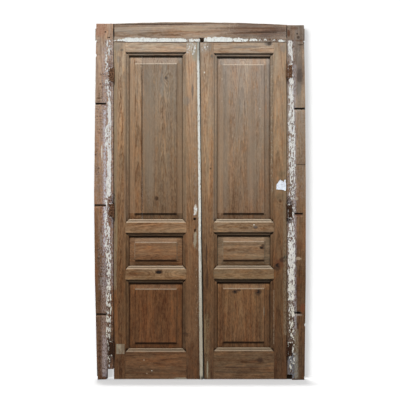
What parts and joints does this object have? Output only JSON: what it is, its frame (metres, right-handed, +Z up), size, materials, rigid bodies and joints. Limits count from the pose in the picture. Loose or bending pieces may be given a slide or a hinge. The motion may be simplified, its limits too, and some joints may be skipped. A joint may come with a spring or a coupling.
{
  "type": "double door in its frame",
  "caption": "Aged pine double doors with raised and fielded panels, hung on iron pin hinges in their own wooden frame.",
  "frame": {"origin": "on the floor line under the frame's feet, midway between the jambs' outer faces and in the middle of the frame's depth", "axes": "+Z up along the jambs, +X to the right seen from the front, +Y into the wall; the doors' front faces -Y and they open towards -Y"},
  "size_m": [1.4, 0.089, 2.388],
  "materials": {
    "frame_pine": "bare weathered pine with flaking white paint on the inner faces",
    "leaf_pine": "stripped and aged pine, dull",
    "panel_pine": "stripped and aged pine, dull",
    "pale_pine": "newer raw pine",
    "peg_wood": "end grain, dull",
    "painted_bead": "old off-white paint",
    "rusty_iron": "rusted and matt",
    "dull_steel": "tarnished",
    "plain_paper": "plain white paper, torn"
  },
  "bodies": {
    "frame": {"frame_head": "frame_pine", "frame_hinge_screws": "rusty_iron", "frame_pegs": "peg_wood", "left_bottom_frame_hinge_plate": "rusty_iron", "left_hinge_pins": "rusty_iron", "left_jamb": "frame_pine", "left_middle_frame_hinge_plate": "rusty_iron", "left_top_frame_hinge_plate": "rusty_iron", "right_bottom_frame_hinge_plate": "rusty_iron", "right_hinge_pins": "rusty_iron", "right_jamb": "frame_pine", "right_middle_frame_hinge_plate": "rusty_iron", "right_top_frame_hinge_plate": "rusty_iron"},
    "left_leaf": {"left_bead_nails": "rusty_iron", "left_bottom_leaf_hinge_plate": "rusty_iron", "left_bottom_rail": "leaf_pine", "left_frieze_rail": "leaf_pine", "left_hinge_stile": "leaf_pine", "left_leaf_hinge_screws": "rusty_iron", "left_leaf_pegs": "peg_wood", "left_lock_cap": "dull_steel", "left_lock_case": "dull_steel", "left_lock_faceplate": "dull_steel", "left_lock_rail": "leaf_pine", "left_lock_screws": "rusty_iron", "left_lower_panel": "panel_pine", "left_meeting_bead": "painted_bead", "left_meeting_stile": "leaf_pine", "left_middle_leaf_hinge_plate": "rusty_iron", "left_middle_panel": "panel_pine", "left_repair_block": "pale_pine", "left_tenon_wedges": "peg_wood", "left_top_leaf_hinge_plate": "rusty_iron", "left_top_rail": "leaf_pine", "left_upper_panel_narrow_board": "panel_pine", "left_upper_panel_wide_board": "panel_pine"},
    "right_leaf": {"right_bottom_leaf_hinge_plate": "rusty_iron", "right_bottom_rail": "leaf_pine", "right_frieze_rail": "leaf_pine", "right_hinge_stile": "leaf_pine", "right_keeper_plate": "dull_steel", "right_keeper_screws": "rusty_iron", "right_leaf_hinge_screws": "rusty_iron", "right_leaf_pegs": "peg_wood", "right_lock_rail": "leaf_pine", "right_lower_panel": "panel_pine", "right_meeting_stile": "leaf_pine", "right_middle_leaf_hinge_plate": "rusty_iron", "right_middle_panel": "panel_pine", "right_paper_label": "plain_paper", "right_tenon_wedges": "peg_wood", "right_top_leaf_hinge_plate": "rusty_iron", "right_top_rail": "leaf_pine", "right_upper_panel": "panel_pine"},
    "latch": {"left_latch_bolt": "dull_steel"},
    "dead_bolt": {"left_dead_bolt": "dull_steel"},
    "follower": {"left_lock_follower": "dull_steel"}
  },
  "joints": [
    {"name": "left_leaf_hinge", "type": "hinge", "parent": "frame", "child": "left_leaf", "pos_m": [-0.5755, -0.045, 1.13], "axis": [0, 0, -1], "range_deg": [0, 165]},
    {"name": "right_leaf_hinge", "type": "hinge", "parent": "frame", "child": "right_leaf", "pos_m": [0.5795, -0.045, 1.124], "axis": [0, 0, 1], "range_deg": [0, 165]},
    {"name": "latch_slide", "type": "slide", "parent": "left_leaf", "child": "latch", "axis": [1, 0, 0], "range_m": [0, 0.01]},
    {"name": "follower_turn", "type": "hinge", "parent": "left_leaf", "child": "follower", "pos_m": [-0.035, -0.018, 1.074], "axis": [0, 1, 0], "range_deg": [-40, 0]},
    {"name": "dead_bolt_slide", "type": "slide", "parent": "left_leaf", "child": "dead_bolt", "axis": [1, 0, 0], "range_m": [0, 0.014]}
  ],
  "couplings": [
    {"joint": "follower_turn", "follows": "latch_slide", "rad_per_m": -69.8}
  ]
}
